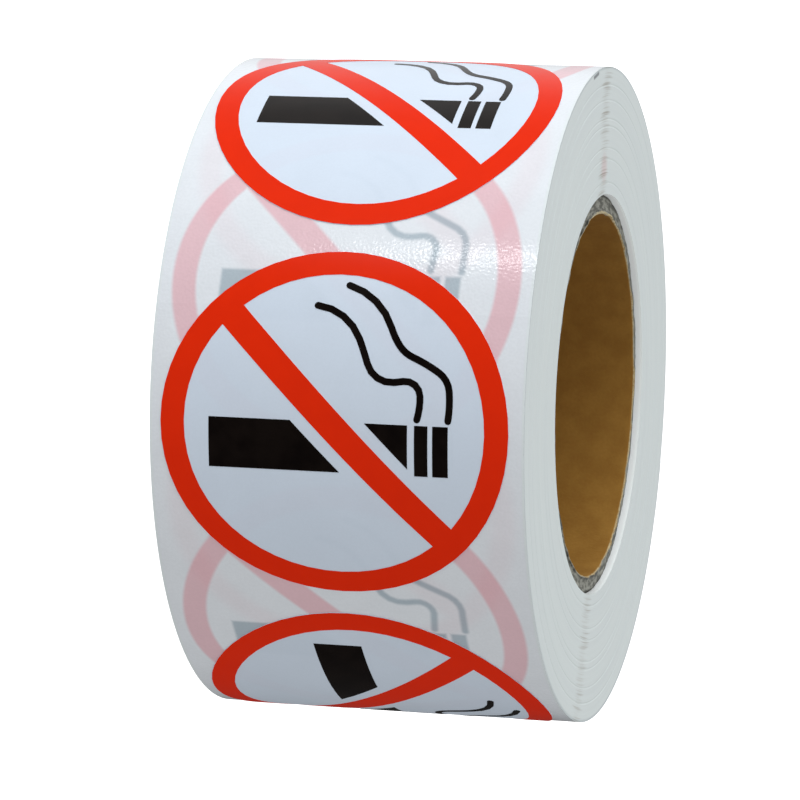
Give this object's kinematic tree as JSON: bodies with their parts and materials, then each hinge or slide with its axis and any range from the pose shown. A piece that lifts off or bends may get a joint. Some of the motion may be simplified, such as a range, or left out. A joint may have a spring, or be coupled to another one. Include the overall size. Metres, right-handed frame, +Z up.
{
  "type": "roll of no-smoking stickers",
  "caption": "Roll of round no-smoking stickers wound on a cardboard core, standing on its end, with the strip's free tail laid flat on the back.",
  "frame": {"origin": "on the roll's axis, in the plane of the lower end face that it stands on", "axes": "+Z up along the roll's axis, towards the end face that the picture shows; -Y towards the label that faces the front"},
  "size_m": [0.0737, 0.0736, 0.041],
  "materials": {
    "core_board": "kraft brown inside, grey chipboard on the cut ends, matte",
    "release_liner": "glossy translucent liner round the roll, cut paper edges on the end faces",
    "label_face": "coated white, semi-gloss",
    "red_ink": "printed, semi-gloss",
    "black_ink": "printed, semi-gloss"
  },
  "bodies": {
    "root": {"core": "core_board", "web": "release_liner", "label_1": "label_face", "label_2": "label_face", "label_3": "label_face", "label_4": "label_face", "label_5": "label_face", "label_6": "label_face", "red_print": "red_ink", "black_print": "black_ink"}
  },
  "joints": []
}
